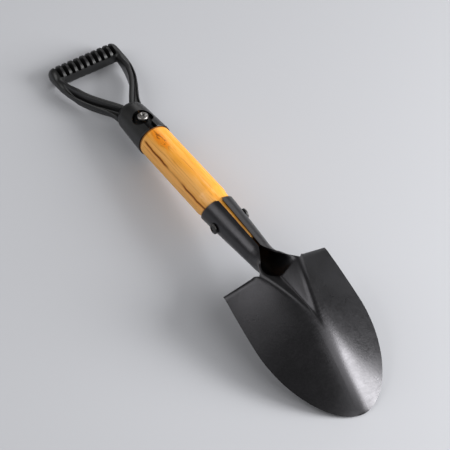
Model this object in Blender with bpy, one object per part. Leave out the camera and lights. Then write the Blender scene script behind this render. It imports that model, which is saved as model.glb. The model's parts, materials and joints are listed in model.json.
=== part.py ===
"""Short-handled round-point garden spade, lying back up on its grip and on the point of its blade.

Lengths are metres. The tool frame has +X along the shaft from grip to point, +Y to the right as one
looks down on the blade's back and +Z out of that back. Its origin is where the shaft leaves the grip's
ferrule. One empty carries every piece and turns the tool frame into the pose at rest.
"""

import math

import bmesh
import bpy
import numpy as np
from mathutils import Vector

# Fits
FIT_GAP = 0.0003

# Wooden shaft
SHAFT_RADIUS = 0.016
SHAFT_SHOULDER = 0.005
TENON_LENGTH = 0.036
TENON_CHAMFER = 0.001
SHAFT_IN_SOCKET = 0.058
SOCKET_LEAD_IN = 0.004
ROUND_STEPS = 48

# Rolled socket
SHEET = 0.0015
SOCKET_MOUTH_X = 0.1095
SOCKET_LENGTH = 0.071
SOCKET_PROUD = 0.0006
SOCKET_TAPER = 0.0037
SOCKET_PINCH = 0.0014
MOUTH_SLANT = 0.006
SEAM_AT_MOUTH = 0.005
SEAM_AT_NECK = 0.0024
FLAP_CORNER = 0.002
FLAP_CORNER_SHARE = 0.1
THROAT_LENGTH = 0.033
THROAT_EDGE_POWER = 1.25
THROAT_FLOOR_POWER = 2.2

# Pressed blade
BLADE_LENGTH = 0.1367
BLADE_DROP = math.radians(23.1)
SHOULDER_HALF_WIDTH = 0.0524
SIDE_SWELL = 0.0016
WIDEST_FROM_SHOULDER = 0.052
SHOULDER_SLANT = 0.0072
SHOULDER_STEP = 0.0025
SHOULDER_STEP_WIDTH = 0.0035
SHOULDER_DROP = 0.0015
POINT_POWER_ALONG = 1.9
POINT_POWER_ACROSS = 1.8
CROWN_HEIGHT = 0.030
CROWN_FROM_SHOULDER = 0.051
CROWN_POWER = 2.5
RIDGE_ROUNDNESS = 0.3
TREAD_DEPTH = 0.005
TREAD_TURN = 0.0016
TREAD_RUN_IN = 0.006

# Hollow frog behind the blade
FROG_HALF_WIDTH = 0.0208
FROG_FOLD_HALF_WIDTH = 0.0187
FROG_LENGTH = 0.056
FROG_TOP_SLOPE = 0.75
FROG_END_SLOPE = 1.2
FROG_FLOOR_ROUND = 0.0012
FROG_FOLD_ROUND = 0.0045

# Columns and rows of the sheet; the trough's columns close in along the frog's two folds
TROUGH_COLUMNS = 12
TROUGH_NARROWS_TO = 0.25
TROUGH_NARROWS_BY = 0.52
WING_COLUMNS = 8
SOCKET_ROWS = 7
THROAT_ROWS = 9
BLADE_ROWS = 20

# Grip and its ferrule
FERRULE_LIP = 0.001
FERRULE_LENGTH = 0.051
FERRULE_TAPER = 0.002
FERRULE_END_ROUND = 0.011
FERRULE_ROUND_STEPS = 7
RIM_ROUND = 0.0006
GRIP_BAR_X = -0.133
GRIP_BAR_RADIUS = 0.0098
GRIP_BAR_FLAT = 0.0007
GRIP_HALF_WIDTH = 0.0382
GRIP_CORNER_POWER = 5.0
GRIP_CORNER_STEPS = 7
OPENING_CORNER = 0.002
SECTION_POINTS = 12
ARM_TOP_WIDTH = 0.0097
ARM_TOP_HEIGHT = 0.0056
ARM_TOP_FROM = 0.72
ARM_ROOT_SPLIT = 0.0003
ARM_ROOT_SUNK = 0.0005
ARM_INNER_ROOT_DEPTH = 0.005
ARM_OUTER_ROOT_DEPTH = 0.007
ARM_INNER_HEIGHT = 0.009
ARM_OUTER_HEIGHT = 0.004
ARM_WEB = 0.0016
ARM_INNER_FLANGE = 0.0036
ARM_OUTER_FLANGE = 0.0022
ARM_EDGE_ROUND = 0.0012
ARM_EDGE_NICK = 0.00035
ARM_POCKET_END = 0.85
ARM_INNER_SWELL = (0.26, 0.42)
ARM_INNER_BEND = 0.38
ARM_OUTER_SWELL = (0.18, 0.405)
ARM_OUTER_BEND = 0.38
ARM_STATIONS = 18
SLOT_COUNT = 10
SLOT_PITCH = 0.0065
SLOT_WIDTH_TOP = 0.0042
SLOT_WIDTH_FLOOR = 0.0026
SLOT_FLOOR = 0.003
UNDER_SLOT_TILT = math.radians(28.0)

# Screws
HEAD_RADIUS = 0.0052
HEAD_HEIGHT = 0.0028
HEAD_RIM = 0.001
HEAD_DOME_STEPS = 4
HEAD_DOME_POWER = 0.7
SHANK_RADIUS = 0.0022
SHANK_LENGTH = 0.013
CROSS_LENGTH = 0.0056
CROSS_WIDTH = 0.0012
CROSS_DEPTH = 0.0016
SCREW_STEPS = 24
SOCKET_SCREW_X = 0.1308
HANDLE_SCREW_X = -0.0195
RECESS_RADIUS = 0.0098
RECESS_WALL = 0.0034
RECESS_CHANNEL_WIDTH = 0.008

# Angle between faces past which an edge is sharp
SHARP_EDGE = math.radians(40.0)

# Worked out from the sizes above
TENON_RADIUS = SHAFT_RADIUS - SHAFT_SHOULDER
SOCKET_NECK_X = SOCKET_MOUTH_X + SOCKET_LENGTH
FROG_TOP_X = SOCKET_NECK_X + THROAT_LENGTH
SHOULDER_X = FROG_TOP_X - SHOULDER_SLANT - SHOULDER_STEP
POINT_X = SHOULDER_X + BLADE_LENGTH
BLADE_HALF_WIDTH = SHOULDER_HALF_WIDTH + SIDE_SWELL
WIDEST_X = SHOULDER_X + WIDEST_FROM_SHOULDER
CROWN_X = SHOULDER_X + CROWN_FROM_SHOULDER
FERRULE_RADIUS = SHAFT_RADIUS + FERRULE_LIP


def smoothstep(low, high, value):
    share = min(max((value - low) / (high - low), 0.0), 1.0)
    return share * share * (3.0 - 2.0 * share)


def smooth_min(first, second, width):
    """The lower of two heights, with the fold between them rounded over a given width."""
    share = max(width - abs(first - second), 0.0) / width
    return min(first, second) - share * share * width / 4.0


def material(name, colour, roughness, metallic):
    made = bpy.data.materials.new(name)
    made.use_nodes = True
    shader = made.node_tree.nodes["Principled BSDF"]
    shader.inputs["Base Color"].default_value = (*colour, 1.0)
    shader.inputs["Roughness"].default_value = roughness
    shader.inputs["Metallic"].default_value = metallic
    return made


def object_from(name, shape, finish, parent):
    """An object of this bmesh, smooth but for its sharp edges, carried by its parent."""
    bmesh.ops.recalc_face_normals(shape, faces=shape.faces)
    mesh = bpy.data.meshes.new(name)
    shape.to_mesh(mesh)
    shape.free()
    mesh.shade_smooth()
    mesh.set_sharp_from_angle(angle=SHARP_EDGE)
    if finish:
        mesh.materials.append(finish)
    made = bpy.data.objects.new(name, mesh)
    bpy.context.scene.collection.objects.link(made)
    made.parent = parent
    return made


def helper(name, shape, parent):
    """A cutter, or a shape that is joined to another object."""
    made = object_from(name, shape, None, parent)
    made.hide_render = True
    made.display_type = "WIRE"
    return made


def combine(target, other, operation):
    modifier = target.modifiers.new(other.name, "BOOLEAN")
    modifier.operation = operation
    modifier.solver = "EXACT"
    modifier.object = other


def turned(profile, steps):
    """A solid of revolution about +X from (along, radius) points that start and end on the axis."""
    shape = bmesh.new()
    points = [shape.verts.new((along, 0.0, radius)) for along, radius in profile]
    edges = [shape.edges.new(pair) for pair in zip(points, points[1:])]
    bmesh.ops.spin(shape, geom=points + edges, cent=(0.0, 0.0, 0.0), axis=(1.0, 0.0, 0.0),
                   dvec=(0.0, 0.0, 0.0), angle=math.tau, steps=steps, use_merge=True)
    bmesh.ops.remove_doubles(shape, verts=shape.verts, dist=1e-6)
    return shape


def lofted(rings):
    """A closed solid through rings of equally many points, with its two ends capped."""
    shape = bmesh.new()
    made = [[shape.verts.new(point) for point in ring] for ring in rings]
    for ring, following in zip(made, made[1:]):
        for k in range(len(ring)):
            shape.faces.new((ring[k - 1], ring[k], following[k], following[k - 1]))
    shape.faces.new(made[0])
    shape.faces.new(made[-1])
    return shape


def box(low, high):
    shape = bmesh.new()
    bmesh.ops.create_cube(shape, size=1.0)
    low, high = Vector(low), Vector(high)
    bmesh.ops.scale(shape, vec=high - low, verts=shape.verts)
    bmesh.ops.translate(shape, vec=(low + high) / 2.0, verts=shape.verts)
    return shape


def rod(centre, radius, length, axis, steps):
    """A plain round bar about a point, along "Y" or "Z"."""
    shape = bmesh.new()
    bmesh.ops.create_cone(shape, cap_ends=True, segments=steps, radius1=radius, radius2=radius, depth=length)
    if axis == "Y":
        for vert in shape.verts:
            vert.co = (vert.co.x, vert.co.z, -vert.co.y)
    bmesh.ops.translate(shape, vec=centre, verts=shape.verts)
    return shape


def socket_share(along):
    """Share of the way from the socket's mouth to its neck, which the throat keeps."""
    return (min(along, SOCKET_NECK_X) - SOCKET_MOUTH_X) / SOCKET_LENGTH


def socket_radius(along):
    """Inner radius of the rolled socket on its front line."""
    return SHAFT_RADIUS + SOCKET_PROUD - SOCKET_TAPER * socket_share(along) - SHEET


def socket_pinch(along):
    """How far the flaps are pressed in at the seam."""
    return SOCKET_PINCH * max(socket_share(along), 0.0) ** 2


def socket_point(along, turn):
    """A point of the socket's inner face at a share of its half turn from the front line to the seam."""
    seam = SEAM_AT_MOUTH + (SEAM_AT_NECK - SEAM_AT_MOUTH) * socket_share(along)
    half_turn = math.pi - math.asin(seam / 2.0 / socket_radius(along))
    angle = turn * half_turn
    radius = socket_radius(along) - socket_pinch(along) * (1.0 - math.cos(angle)) / 2.0
    return Vector((along, radius * math.sin(angle), -radius * math.cos(angle)))


def socket_mouth(turn):
    """Station of the mouth, cut on a slant with its front line highest and its flap corners rounded."""
    corner = max(abs(turn) - 1.0 + FLAP_CORNER_SHARE, 0.0) / FLAP_CORNER_SHARE
    return SOCKET_MOUTH_X - MOUTH_SLANT * math.cos(turn * math.pi) + FLAP_CORNER * corner


def half_width(along):
    """Half the blade's width down its sides, to the station where the point begins."""
    share = max(WIDEST_X - along, 0.0) / WIDEST_FROM_SHOULDER
    return BLADE_HALF_WIDTH - SIDE_SWELL * share * share


def point_half_width(along):
    """Half the blade's width at any station, down to nothing at the point."""
    share = min(max(along - WIDEST_X, 0.0) / (POINT_X - WIDEST_X), 1.0)
    return half_width(along) * (1.0 - share ** POINT_POWER_ALONG) ** (1.0 / POINT_POWER_ACROSS)


def point_outline(across):
    """Station where the blade ends at a share of its half width."""
    share = (1.0 - abs(across) ** POINT_POWER_ACROSS) ** (1.0 / POINT_POWER_ALONG)
    return WIDEST_X + (POINT_X - WIDEST_X) * share


def trough_share(down):
    """Share of the half width that the trough's columns take at a share of the way down."""
    narrowing = min(down / TROUGH_NARROWS_BY, 1.0)
    return FROG_HALF_WIDTH / SHOULDER_HALF_WIDTH * (1.0 - (1.0 - TROUGH_NARROWS_TO) * narrowing)


def column_share(column, down):
    """Share of the half width of a column: the trough's run from -1 to 1 and the wings' on to 2."""
    inner = trough_share(down)
    if abs(column) <= 1.0:
        return column * inner
    return math.copysign(inner + (1.0 - inner) * (abs(column) - 1.0), column)


def outward_of_frog(across):
    """Distance outward from the frog along the top edge."""
    return max(abs(across) * SHOULDER_HALF_WIDTH - FROG_HALF_WIDTH, 0.0)


def shoulder_line(across):
    """Station of the top edge: the frog's mouth in the middle, a small step, then the slanting shoulder."""
    outward = outward_of_frog(across)
    slant = SHOULDER_SLANT * outward / (SHOULDER_HALF_WIDTH - FROG_HALF_WIDTH)
    return FROG_TOP_X - SHOULDER_STEP * smoothstep(0.0, SHOULDER_STEP_WIDTH, outward) - slant


def dish_height(along, across):
    """Height of the plain crowned dish, whose rim lies in one plane, at a share of its half width."""
    rim = -SHOULDER_DROP - math.tan(BLADE_DROP) * (along - SHOULDER_X)
    crown_length = POINT_X - CROWN_X
    crown = CROWN_HEIGHT * (1.0 - (abs(along - CROWN_X) / crown_length) ** CROWN_POWER)
    fall = math.hypot(across, RIDGE_ROUNDNESS) - RIDGE_ROUNDNESS
    whole_fall = math.hypot(1.0, RIDGE_ROUNDNESS) - RIDGE_ROUNDNESS
    return rim + crown * (1.0 - fall / whole_fall)


def frog_height(along, sideways):
    """Height of the frog's walls, which fall from its two folds and grow steeper towards its lower end."""
    down = (along - FROG_TOP_X) / FROG_LENGTH
    fold = FROG_FOLD_HALF_WIDTH * (1.0 - down)
    slope = FROG_TOP_SLOPE + (FROG_END_SLOPE - FROG_TOP_SLOPE) * min(max(down, 0.0), 1.0)
    rim = dish_height(along, max(fold, 0.0) / half_width(along))
    return rim - slope * (fold + FROG_FLOOR_ROUND - math.hypot(sideways, FROG_FLOOR_ROUND))


def back_height(along, sideways):
    """Height of the blade's back: the dish with the frog pressed in."""
    across = min(abs(sideways) / max(point_half_width(along), SHEET), 1.0)
    return smooth_min(dish_height(along, across), frog_height(along, sideways), FROG_FOLD_ROUND)


def blade_point(down, column):
    """A point of the back on one column of the sheet at a share of the way down."""
    at_top = column_share(column, 0.0)
    top = shoulder_line(at_top)
    along = top + down * (point_outline(column_share(column, 1.0)) - top)
    sideways = column_share(column, down) * half_width(along)
    turned_in = max(1.0 - (along - top) / TREAD_DEPTH, 0.0) ** 2
    tread = TREAD_TURN * smoothstep(0.0, TREAD_RUN_IN, outward_of_frog(at_top)) * turned_in
    return Vector((along, sideways, back_height(along, sideways) - tread))


def throat_point(down, turn):
    """A point between the rolled socket and the open frog, whose flaps spread as they run down."""
    along = SOCKET_NECK_X + down * THROAT_LENGTH
    opened = down ** (THROAT_FLOOR_POWER + (THROAT_EDGE_POWER - THROAT_FLOOR_POWER) * abs(turn))
    sideways = turn * FROG_HALF_WIDTH
    spread = Vector((along, sideways, back_height(along, sideways)))
    return socket_point(along, turn).lerp(spread, opened)


def blade_sheet():
    """The back of the blade and the inside of its socket as one grid of faces, before it has a thickness."""
    trough = [k / TROUGH_COLUMNS for k in range(-TROUGH_COLUMNS, TROUGH_COLUMNS + 1)]
    wing = [1.0 + math.sin(math.pi / 2.0 * k / WING_COLUMNS) for k in range(1, WING_COLUMNS + 1)]
    wide = [-column for column in reversed(wing)] + trough + wing
    starts = [socket_mouth(turn) for turn in trough]
    rows = []
    for row in range(SOCKET_ROWS):
        share = row / SOCKET_ROWS
        rows.append([socket_point(start + share * (SOCKET_NECK_X - start), turn)
                     for start, turn in zip(starts, trough)])
    for row in range(THROAT_ROWS):
        rows.append([throat_point(row / THROAT_ROWS, turn) for turn in trough])
    for row in range(BLADE_ROWS + 1):
        rows.append([blade_point(row / BLADE_ROWS, column) for column in wide])
    shape = bmesh.new()
    made = [[shape.verts.new(point) for point in row] for row in rows]
    for upper, lower in zip(made, made[1:]):
        skip = (len(lower) - len(upper)) // 2
        for k in range(len(upper) - 1):
            shape.faces.new((upper[k], lower[k + skip], lower[k + skip + 1], upper[k + 1]))
    return shape


def make_blade(finish, parent):
    blade = object_from("blade", blade_sheet(), finish, parent)
    if blade.data.polygons[len(blade.data.polygons) - 1].normal.z < 0.0:
        blade.data.flip_normals()
    sheet = blade.modifiers.new("sheet", "SOLIDIFY")
    sheet.thickness = SHEET
    sheet.offset = -1.0
    sheet.use_even_offset = True
    hole = rod((SOCKET_SCREW_X, 0.0, 0.0), SHANK_RADIUS + FIT_GAP, 4.0 * SHAFT_RADIUS, "Y", SCREW_STEPS)
    combine(blade, helper("blade_screw_holes", hole, parent), "DIFFERENCE")
    return blade


def make_shaft(finish, parent):
    """Turned wood: a tenon in the ferrule, a plain length to hold, and a taper in the socket."""
    lead = SOCKET_MOUTH_X - MOUTH_SLANT
    end = SOCKET_MOUTH_X + SHAFT_IN_SOCKET
    inside = socket_radius(lead) - FIT_GAP
    tip = socket_radius(end) - socket_pinch(end) - FIT_GAP
    profile = [(-TENON_LENGTH, 0.0), (-TENON_LENGTH, TENON_RADIUS - TENON_CHAMFER),
               (-TENON_LENGTH + TENON_CHAMFER, TENON_RADIUS), (FIT_GAP, TENON_RADIUS),
               (FIT_GAP, SHAFT_RADIUS), (lead - SOCKET_LEAD_IN, SHAFT_RADIUS), (lead, inside),
               (end - TENON_CHAMFER, tip), (end, tip - TENON_CHAMFER), (end, 0.0)]
    shaft = object_from("shaft", turned(profile, ROUND_STEPS), finish, parent)
    depth = socket_screw_seat() - SHANK_LENGTH - FIT_GAP
    pilot_radius = SHANK_RADIUS + FIT_GAP
    pilot_length = 2.0 * SHAFT_RADIUS
    for side, word in ((-1.0, "left"), (1.0, "right")):
        middle = (SOCKET_SCREW_X, side * (depth + pilot_length / 2.0), 0.0)
        pilot = rod(middle, pilot_radius, pilot_length, "Y", SCREW_STEPS)
        combine(shaft, helper(f"shaft_pilot_{word}", pilot, parent), "DIFFERENCE")
    depth = handle_screw_seat() - SHANK_LENGTH - FIT_GAP
    middle = (HANDLE_SCREW_X, 0.0, depth + pilot_length / 2.0)
    pilot = rod(middle, pilot_radius, pilot_length, "Z", SCREW_STEPS)
    combine(shaft, helper("shaft_pilot_top", pilot, parent), "DIFFERENCE")
    return shaft


def ferrule_outline():
    """(along, radius) points of the ferrule with its blind bore, from end to end on the axis."""
    top = FERRULE_RADIUS - FERRULE_TAPER
    bore = TENON_RADIUS + FIT_GAP
    end = -FERRULE_LENGTH
    corner = []
    for step in range(FERRULE_ROUND_STEPS + 1):
        angle = math.pi / 2.0 * step / FERRULE_ROUND_STEPS
        corner.append((end + FERRULE_END_ROUND * (1.0 - math.cos(angle)),
                       top - FERRULE_END_ROUND * (1.0 - math.sin(angle))))
    return [(end, 0.0), *corner, (-RIM_ROUND, FERRULE_RADIUS), (0.0, FERRULE_RADIUS - RIM_ROUND), (0.0, bore),
            (-TENON_LENGTH - FIT_GAP, bore), (-TENON_LENGTH - FIT_GAP, 0.0)]


def bezier(points, share):
    """A point of the cubic curve with these four control points."""
    first, second, third, last = (Vector(point) for point in points)
    rest = 1.0 - share
    return (first * rest ** 3 + second * 3.0 * rest ** 2 * share
            + third * 3.0 * rest * share ** 2 + last * share ** 3)


def grip_corner():
    """Plan point in the hand opening that the rings of the right corner fan around."""
    flat = GRIP_BAR_X + GRIP_BAR_RADIUS - GRIP_BAR_FLAT
    return Vector((flat + OPENING_CORNER, GRIP_HALF_WIDTH - ARM_TOP_WIDTH - OPENING_CORNER))


def corner_reach(turn):
    """Distance from that point to the outline, from straight back at 0 to straight out at a right angle."""
    back = OPENING_CORNER + 2.0 * GRIP_BAR_RADIUS - GRIP_BAR_FLAT
    out = OPENING_CORNER + ARM_TOP_WIDTH
    power = GRIP_CORNER_POWER
    return ((math.cos(turn) / back) ** power + (math.sin(turn) / out) ** power) ** (-1.0 / power)


def arm_edges(share):
    """Plan points of the right arm's inner and outer edge, from the ferrule at 0 to the corner at 1."""
    root = -FERRULE_LENGTH
    reach = root - GRIP_BAR_X
    outer_root = FERRULE_RADIUS - FERRULE_TAPER - ARM_ROOT_SUNK
    inner_top = GRIP_HALF_WIDTH - ARM_TOP_WIDTH
    top = grip_corner().x
    inner = bezier(((root + ARM_INNER_ROOT_DEPTH, ARM_ROOT_SPLIT),
                    (root - ARM_INNER_SWELL[0] * reach, ARM_INNER_SWELL[1] * inner_top),
                    (root - ARM_INNER_BEND * reach, inner_top), (top, inner_top)), share)
    outer = bezier(((root + ARM_OUTER_ROOT_DEPTH, outer_root),
                    (root - ARM_OUTER_SWELL[0] * reach, ARM_OUTER_SWELL[1] * GRIP_HALF_WIDTH),
                    (root - ARM_OUTER_BEND * reach, GRIP_HALF_WIDTH), (top, GRIP_HALF_WIDTH)), share)
    return inner, outer


def round_section(width, height):
    """(across, height) points of half a grip section: round, with a flat towards the hand opening."""
    start = math.acos(1.0 - GRIP_BAR_FLAT / GRIP_BAR_RADIUS)
    end = math.pi * (1.0 - 0.5 / SECTION_POINTS)
    points = []
    for k in range(SECTION_POINTS):
        angle = start + (end - start) * k / (SECTION_POINTS - 1)
        across = (math.cos(start) - math.cos(angle)) / (math.cos(start) - math.cos(end))
        points.append((width * across, height * math.sin(angle)))
    return points


def arm_section(width, share):
    """(across, height) points of half an arm: a tall inner flange, a pocketed web and a low outer flange."""
    edge = ARM_EDGE_ROUND
    nick = ARM_EDGE_NICK
    tall = ARM_INNER_HEIGHT
    low = ARM_OUTER_HEIGHT
    rim = width - ARM_OUTER_FLANGE
    widening = min(share / ARM_POCKET_END, 1.0) ** 3
    flange = ARM_INNER_FLANGE + (rim - 2.0 * edge - ARM_INNER_FLANGE) * widening
    return [(0.0, tall - edge), (nick, tall - nick), (edge, tall),
            (flange - edge, tall), (flange - nick, tall - nick), (flange, ARM_WEB + edge),
            (flange + nick, ARM_WEB), (rim - nick, ARM_WEB), (rim, ARM_WEB + nick),
            (rim + nick, low), (width - edge, low), (width, low - edge)]


def grip_ring(inner, outward, half_section):
    """A ring of a grip section in space, from its upper half and its mirrored lower half."""
    whole = half_section + [(across, -height) for across, height in reversed(half_section)]
    return [(inner.x + outward.x * across, inner.y + outward.y * across, height) for across, height in whole]


def grip_frame():
    """The two arms and the bar between them as one loft, with rounded corners."""
    rings = []
    for station in range(ARM_STATIONS + 1):
        share = station / ARM_STATIONS
        inner, outer = arm_edges(share)
        width = (outer - inner).length
        rounding = smoothstep(ARM_TOP_FROM, 1.0, share)
        section = []
        for flanged, rounded in zip(arm_section(width, share), round_section(width, ARM_TOP_HEIGHT)):
            section.append(Vector(flanged).lerp(Vector(rounded), rounding))
        rings.append(grip_ring(inner, (outer - inner) / width, [tuple(point) for point in section]))
    middle = grip_corner()
    for step in range(1, GRIP_CORNER_STEPS + 1):
        turn = math.pi / 2.0 * (1.0 - step / GRIP_CORNER_STEPS)
        outward = Vector((-math.cos(turn), math.sin(turn)))
        height = GRIP_BAR_RADIUS + (ARM_TOP_HEIGHT - GRIP_BAR_RADIUS) * smoothstep(0.0, math.pi / 2.0, turn)
        section = round_section(corner_reach(turn) - OPENING_CORNER, height)
        rings.append(grip_ring(middle + outward * OPENING_CORNER, outward, section))
    mirrored = [[(x, -y, z) for x, y, z in ring] for ring in reversed(rings)]
    return lofted(rings + mirrored)


def grip_slots():
    """The slots that leave ribs across the bar. Those below are tilted to leave its inner edge whole."""
    shape = bmesh.new()
    reach = 2.0 * GRIP_BAR_RADIUS
    for k in range(SLOT_COUNT):
        middle = (k - (SLOT_COUNT - 1) / 2.0) * SLOT_PITCH
        for side, tilt in ((1.0, 0.0), (-1.0, UNDER_SLOT_TILT)):
            corners = []
            for along in (-reach, GRIP_BAR_RADIUS):
                for height, width in ((SLOT_FLOOR, SLOT_WIDTH_FLOOR), (reach, SLOT_WIDTH_TOP)):
                    x = along * math.cos(tilt) + side * height * math.sin(tilt)
                    z = side * height * math.cos(tilt) - along * math.sin(tilt)
                    for edge in (-0.5, 0.5):
                        corners.append(shape.verts.new((GRIP_BAR_X + x, middle + edge * width, z)))
            a, b, c, d, e, f, g, h = corners
            for face in ((a, b, d, c), (e, g, h, f), (a, c, g, e), (b, f, h, d), (a, e, f, b), (c, d, h, g)):
                shape.faces.new(face)
    return shape


def screw_recess(parent):
    """Cutter for the handle screw's round recess and its channel to the rim, with a floor round the bore."""
    floor = TENON_RADIUS + FIT_GAP + RECESS_WALL
    deep = 2.0 * SHAFT_RADIUS
    well = rod((HANDLE_SCREW_X, 0.0, deep / 2.0), RECESS_RADIUS, deep, "Z", ROUND_STEPS)
    recess = helper("grip_recess", well, parent)
    half = RECESS_CHANNEL_WIDTH / 2.0
    channel = box((HANDLE_SCREW_X, -half, FIT_GAP), (SHAFT_RADIUS, half, deep + FIT_GAP))
    combine(recess, helper("grip_recess_channel", channel, parent), "UNION")
    beyond = 2.0 * deep
    core = turned([(-beyond, 0.0), (-beyond, floor), (beyond, floor), (beyond, 0.0)], ROUND_STEPS)
    combine(recess, helper("grip_recess_floor", core, parent), "DIFFERENCE")
    return recess


def make_grip(finish, parent):
    grip = object_from("d_handle", turned(ferrule_outline(), ROUND_STEPS), finish, parent)
    combine(grip, helper("grip_frame", grip_frame(), parent), "UNION")
    combine(grip, helper("grip_slots", grip_slots(), parent), "DIFFERENCE")
    combine(grip, screw_recess(parent), "DIFFERENCE")
    middle = (HANDLE_SCREW_X, 0.0, TENON_RADIUS)
    hole = rod(middle, SHANK_RADIUS + FIT_GAP, 2.0 * TENON_RADIUS, "Z", SCREW_STEPS)
    combine(grip, helper("grip_screw_hole", hole, parent), "DIFFERENCE")
    return grip


def handle_screw_seat():
    """Height of the handle screw's underside above the shaft's axis."""
    return TENON_RADIUS + FIT_GAP + RECESS_WALL + FIT_GAP


def socket_screw_seat():
    """Distance of a socket screw's underside from the shaft's axis."""
    side = socket_radius(SOCKET_SCREW_X) - socket_pinch(SOCKET_SCREW_X) / 2.0
    return side + SHEET + FIT_GAP


def screw_shape():
    """A pan-head screw about +X, with the head's underside at the origin."""
    profile = [(-SHANK_LENGTH, 0.0), (-SHANK_LENGTH + SHANK_RADIUS, SHANK_RADIUS), (0.0, SHANK_RADIUS),
               (0.0, HEAD_RADIUS)]
    for step in range(HEAD_DOME_STEPS):
        angle = math.pi / 2.0 * step / HEAD_DOME_STEPS
        profile.append((HEAD_RIM + (HEAD_HEIGHT - HEAD_RIM) * math.sin(angle),
                        HEAD_RADIUS * math.cos(angle) ** HEAD_DOME_POWER))
    profile.append((HEAD_HEIGHT, 0.0))
    return turned(profile, SCREW_STEPS)


def cross_recess():
    """The cross-shaped driver recess in the top of a head, as two crossing wedges."""
    top = HEAD_HEIGHT + CROSS_DEPTH
    floor = HEAD_HEIGHT - CROSS_DEPTH
    arms = []
    for across, along in ((CROSS_LENGTH, CROSS_WIDTH), (CROSS_WIDTH, CROSS_LENGTH)):
        arms.append(box((floor, -across / 2.0, -along / 2.0), (top, across / 2.0, along / 2.0)))
    return arms


def make_screw(name, finish, parent, place, rotation):
    screw = object_from(name, screw_shape(), finish, parent)
    screw.location = place
    screw.rotation_euler = rotation
    for k, shape in enumerate(cross_recess()):
        combine(screw, helper(f"{name}_recess_{k}", shape, screw), "DIFFERENCE")
    return screw


def evaluated_points(objects):
    """World positions of every vertex of these objects, with their modifiers."""
    bpy.context.view_layer.update()
    graph = bpy.context.evaluated_depsgraph_get()
    found = []
    for piece in objects:
        evaluated = piece.evaluated_get(graph)
        mesh = evaluated.to_mesh()
        found.extend(evaluated.matrix_world @ vert.co for vert in mesh.vertices)
        evaluated.to_mesh_clear()
    return np.array(found)


def resting_slope(points):
    """Slope of the line that the tool stands on: the edge of its lower hull under its middle."""
    middle = (points[:, 0].min() + points[:, 0].max()) / 2.0
    hull = []
    for x, z in sorted((x, z) for x, _, z in points):
        while len(hull) > 1 and ((hull[-1][0] - hull[-2][0]) * (z - hull[-2][1])
                                 <= (x - hull[-2][0]) * (hull[-1][1] - hull[-2][1])):
            hull.pop()
        hull.append((x, z))
    for (start, low), (end, high) in zip(hull, hull[1:]):
        if end > middle:
            return math.atan2(high - low, end - start)
    return 0.0


def lay_down(root, objects):
    """Turns and lifts the tool so that it rests on the grip and the point, centred over the origin."""
    root.rotation_euler.y = resting_slope(evaluated_points(objects))
    points = evaluated_points(objects)
    low, high = points.min(axis=0), points.max(axis=0)
    root.location = (-(low[0] + high[0]) / 2.0, -(low[1] + high[1]) / 2.0, -low[2])
    bpy.context.view_layer.update()


def main():
    for old in list(bpy.data.objects):
        bpy.data.objects.remove(old, do_unlink=True)
    root = bpy.data.objects.new("spade", None)
    bpy.context.scene.collection.objects.link(root)
    coated = material("black_coated_steel", (0.012, 0.012, 0.013), 0.35, 0.0)
    wood = material("lacquered_wood", (0.72, 0.36, 0.09), 0.4, 0.0)
    plastic = material("black_plastic", (0.016, 0.016, 0.017), 0.55, 0.0)
    steel = material("plated_steel", (0.62, 0.62, 0.63), 0.3, 1.0)
    dark_screw = material("black_screw", (0.014, 0.014, 0.015), 0.4, 0.0)
    side_seat = socket_screw_seat()
    pieces = [
        make_blade(coated, root),
        make_shaft(wood, root),
        make_grip(plastic, root),
        make_screw("handle_screw", steel, root, (HANDLE_SCREW_X, 0.0, handle_screw_seat()),
                   (0.0, -math.pi / 2.0, 0.0)),
        make_screw("socket_screw_left", dark_screw, root, (SOCKET_SCREW_X, -side_seat, 0.0),
                   (0.0, 0.0, -math.pi / 2.0)),
        make_screw("socket_screw_right", dark_screw, root, (SOCKET_SCREW_X, side_seat, 0.0),
                   (0.0, 0.0, math.pi / 2.0)),
    ]
    lay_down(root, pieces)


main()
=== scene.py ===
import json
import math

import bmesh
import bpy
from mathutils import Matrix, Vector


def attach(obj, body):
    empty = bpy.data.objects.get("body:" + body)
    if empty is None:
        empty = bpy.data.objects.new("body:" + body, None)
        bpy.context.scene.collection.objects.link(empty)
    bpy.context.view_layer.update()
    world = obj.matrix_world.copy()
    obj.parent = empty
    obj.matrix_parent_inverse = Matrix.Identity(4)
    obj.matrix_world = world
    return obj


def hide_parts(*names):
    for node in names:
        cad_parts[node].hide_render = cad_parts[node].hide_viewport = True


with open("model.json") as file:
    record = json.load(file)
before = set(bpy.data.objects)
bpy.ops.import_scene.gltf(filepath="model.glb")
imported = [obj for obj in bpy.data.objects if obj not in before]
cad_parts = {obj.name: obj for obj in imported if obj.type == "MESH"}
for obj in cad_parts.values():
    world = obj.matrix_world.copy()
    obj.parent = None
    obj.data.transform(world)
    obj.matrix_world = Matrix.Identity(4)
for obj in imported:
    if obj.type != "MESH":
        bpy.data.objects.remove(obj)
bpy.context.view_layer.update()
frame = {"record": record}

# Fits
FIT_GAP = 0.0003

# Wooden shaft
SHAFT_RADIUS = 0.016
SHAFT_SHOULDER = 0.005
TENON_LENGTH = 0.036
TENON_CHAMFER = 0.001
SHAFT_IN_SOCKET = 0.058
SOCKET_LEAD_IN = 0.004
SHAFT_STEPS = 128
SHAFT_RINGS = 40

# Rolled socket
SHEET = 0.0015
SOCKET_MOUTH_X = 0.1095
SOCKET_LENGTH = 0.071
SOCKET_PROUD = 0.0006
SOCKET_TAPER = 0.0037
SOCKET_PINCH = 0.0014
MOUTH_SLANT = 0.006
SEAM_AT_MOUTH = 0.0036
SEAM_AT_NECK = 0.0021
FLAP_CORNER = 0.002
FLAP_CORNER_SHARE = 0.1
THROAT_LENGTH = 0.033
THROAT_EDGE_POWER = 1.25
THROAT_FLOOR_POWER = 2.2

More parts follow.
